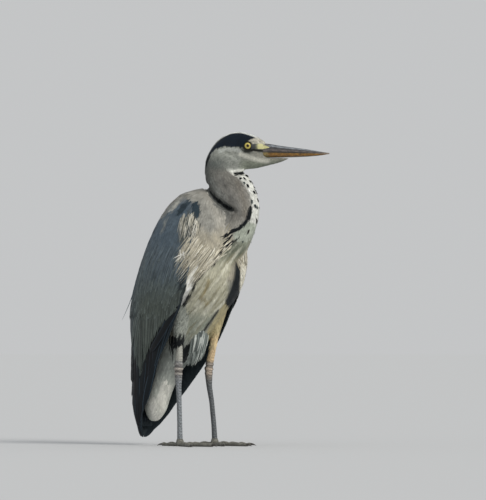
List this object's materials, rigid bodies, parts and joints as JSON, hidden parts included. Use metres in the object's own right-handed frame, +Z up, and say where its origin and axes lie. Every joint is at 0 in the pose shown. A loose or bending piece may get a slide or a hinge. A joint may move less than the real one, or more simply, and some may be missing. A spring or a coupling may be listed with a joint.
{
  "type": "grey heron, still model",
  "caption": "Life-size still model of a grey heron standing at rest with its neck folded and its wings closed, on flat feet.",
  "frame": {"origin": "on the floor, at the middle of the bounding box's bottom face", "axes": "+X the way the bill points, +Y to the bird's left of the bill, +Z up; the trunk is turned 42 degrees from +X towards -Y"},
  "size_m": [0.3868, 0.2268, 0.6049],
  "materials": {
    "plumage_white": "lapped contour feathers, white to buff",
    "plumage_grey": "lapped contour feathers, grey",
    "wing_grey": "wing coverts and tertials, slate grey with pale fringes",
    "flight_black": "flight feathers, blue-black, faint gloss",
    "bill_dark": "horn sheath, worn satin",
    "bill_yellow": "horn sheath, worn satin",
    "eye_yellow": "wet gloss",
    "leg_scales": "scaled skin, dull satin",
    "thigh_buff": "short feathers, buff and grey",
    "claw_horn": "dark horn"
  },
  "bodies": {
    "root": {"head": "plumage_white", "eye_right": "eye_yellow", "eye_left": "eye_yellow", "bill_upper": "bill_dark", "bill_lower": "bill_yellow", "neck_upper": "plumage_white", "neck_middle": "plumage_white", "neck_lower": "plumage_white", "trunk": "plumage_grey", "tail": "flight_black", "wing_right": "wing_grey", "primaries_right": "flight_black", "thigh_right": "thigh_buff", "shank_right": "leg_scales", "tarsus_right": "leg_scales", "foot_right": "leg_scales", "toe_inner_right": "leg_scales", "claw_inner_right": "claw_horn", "toe_middle_right": "leg_scales", "claw_middle_right": "claw_horn", "toe_outer_right": "leg_scales", "claw_outer_right": "claw_horn", "toe_hind_right": "leg_scales", "claw_hind_right": "claw_horn", "wing_left": "wing_grey", "primaries_left": "flight_black", "thigh_left": "thigh_buff", "shank_left": "leg_scales", "tarsus_left": "leg_scales", "foot_left": "leg_scales", "toe_inner_left": "leg_scales", "claw_inner_left": "claw_horn", "toe_middle_left": "leg_scales", "claw_middle_left": "claw_horn", "toe_outer_left": "leg_scales", "claw_outer_left": "claw_horn", "toe_hind_left": "leg_scales", "claw_hind_left": "claw_horn"}
  },
  "joints": []
}
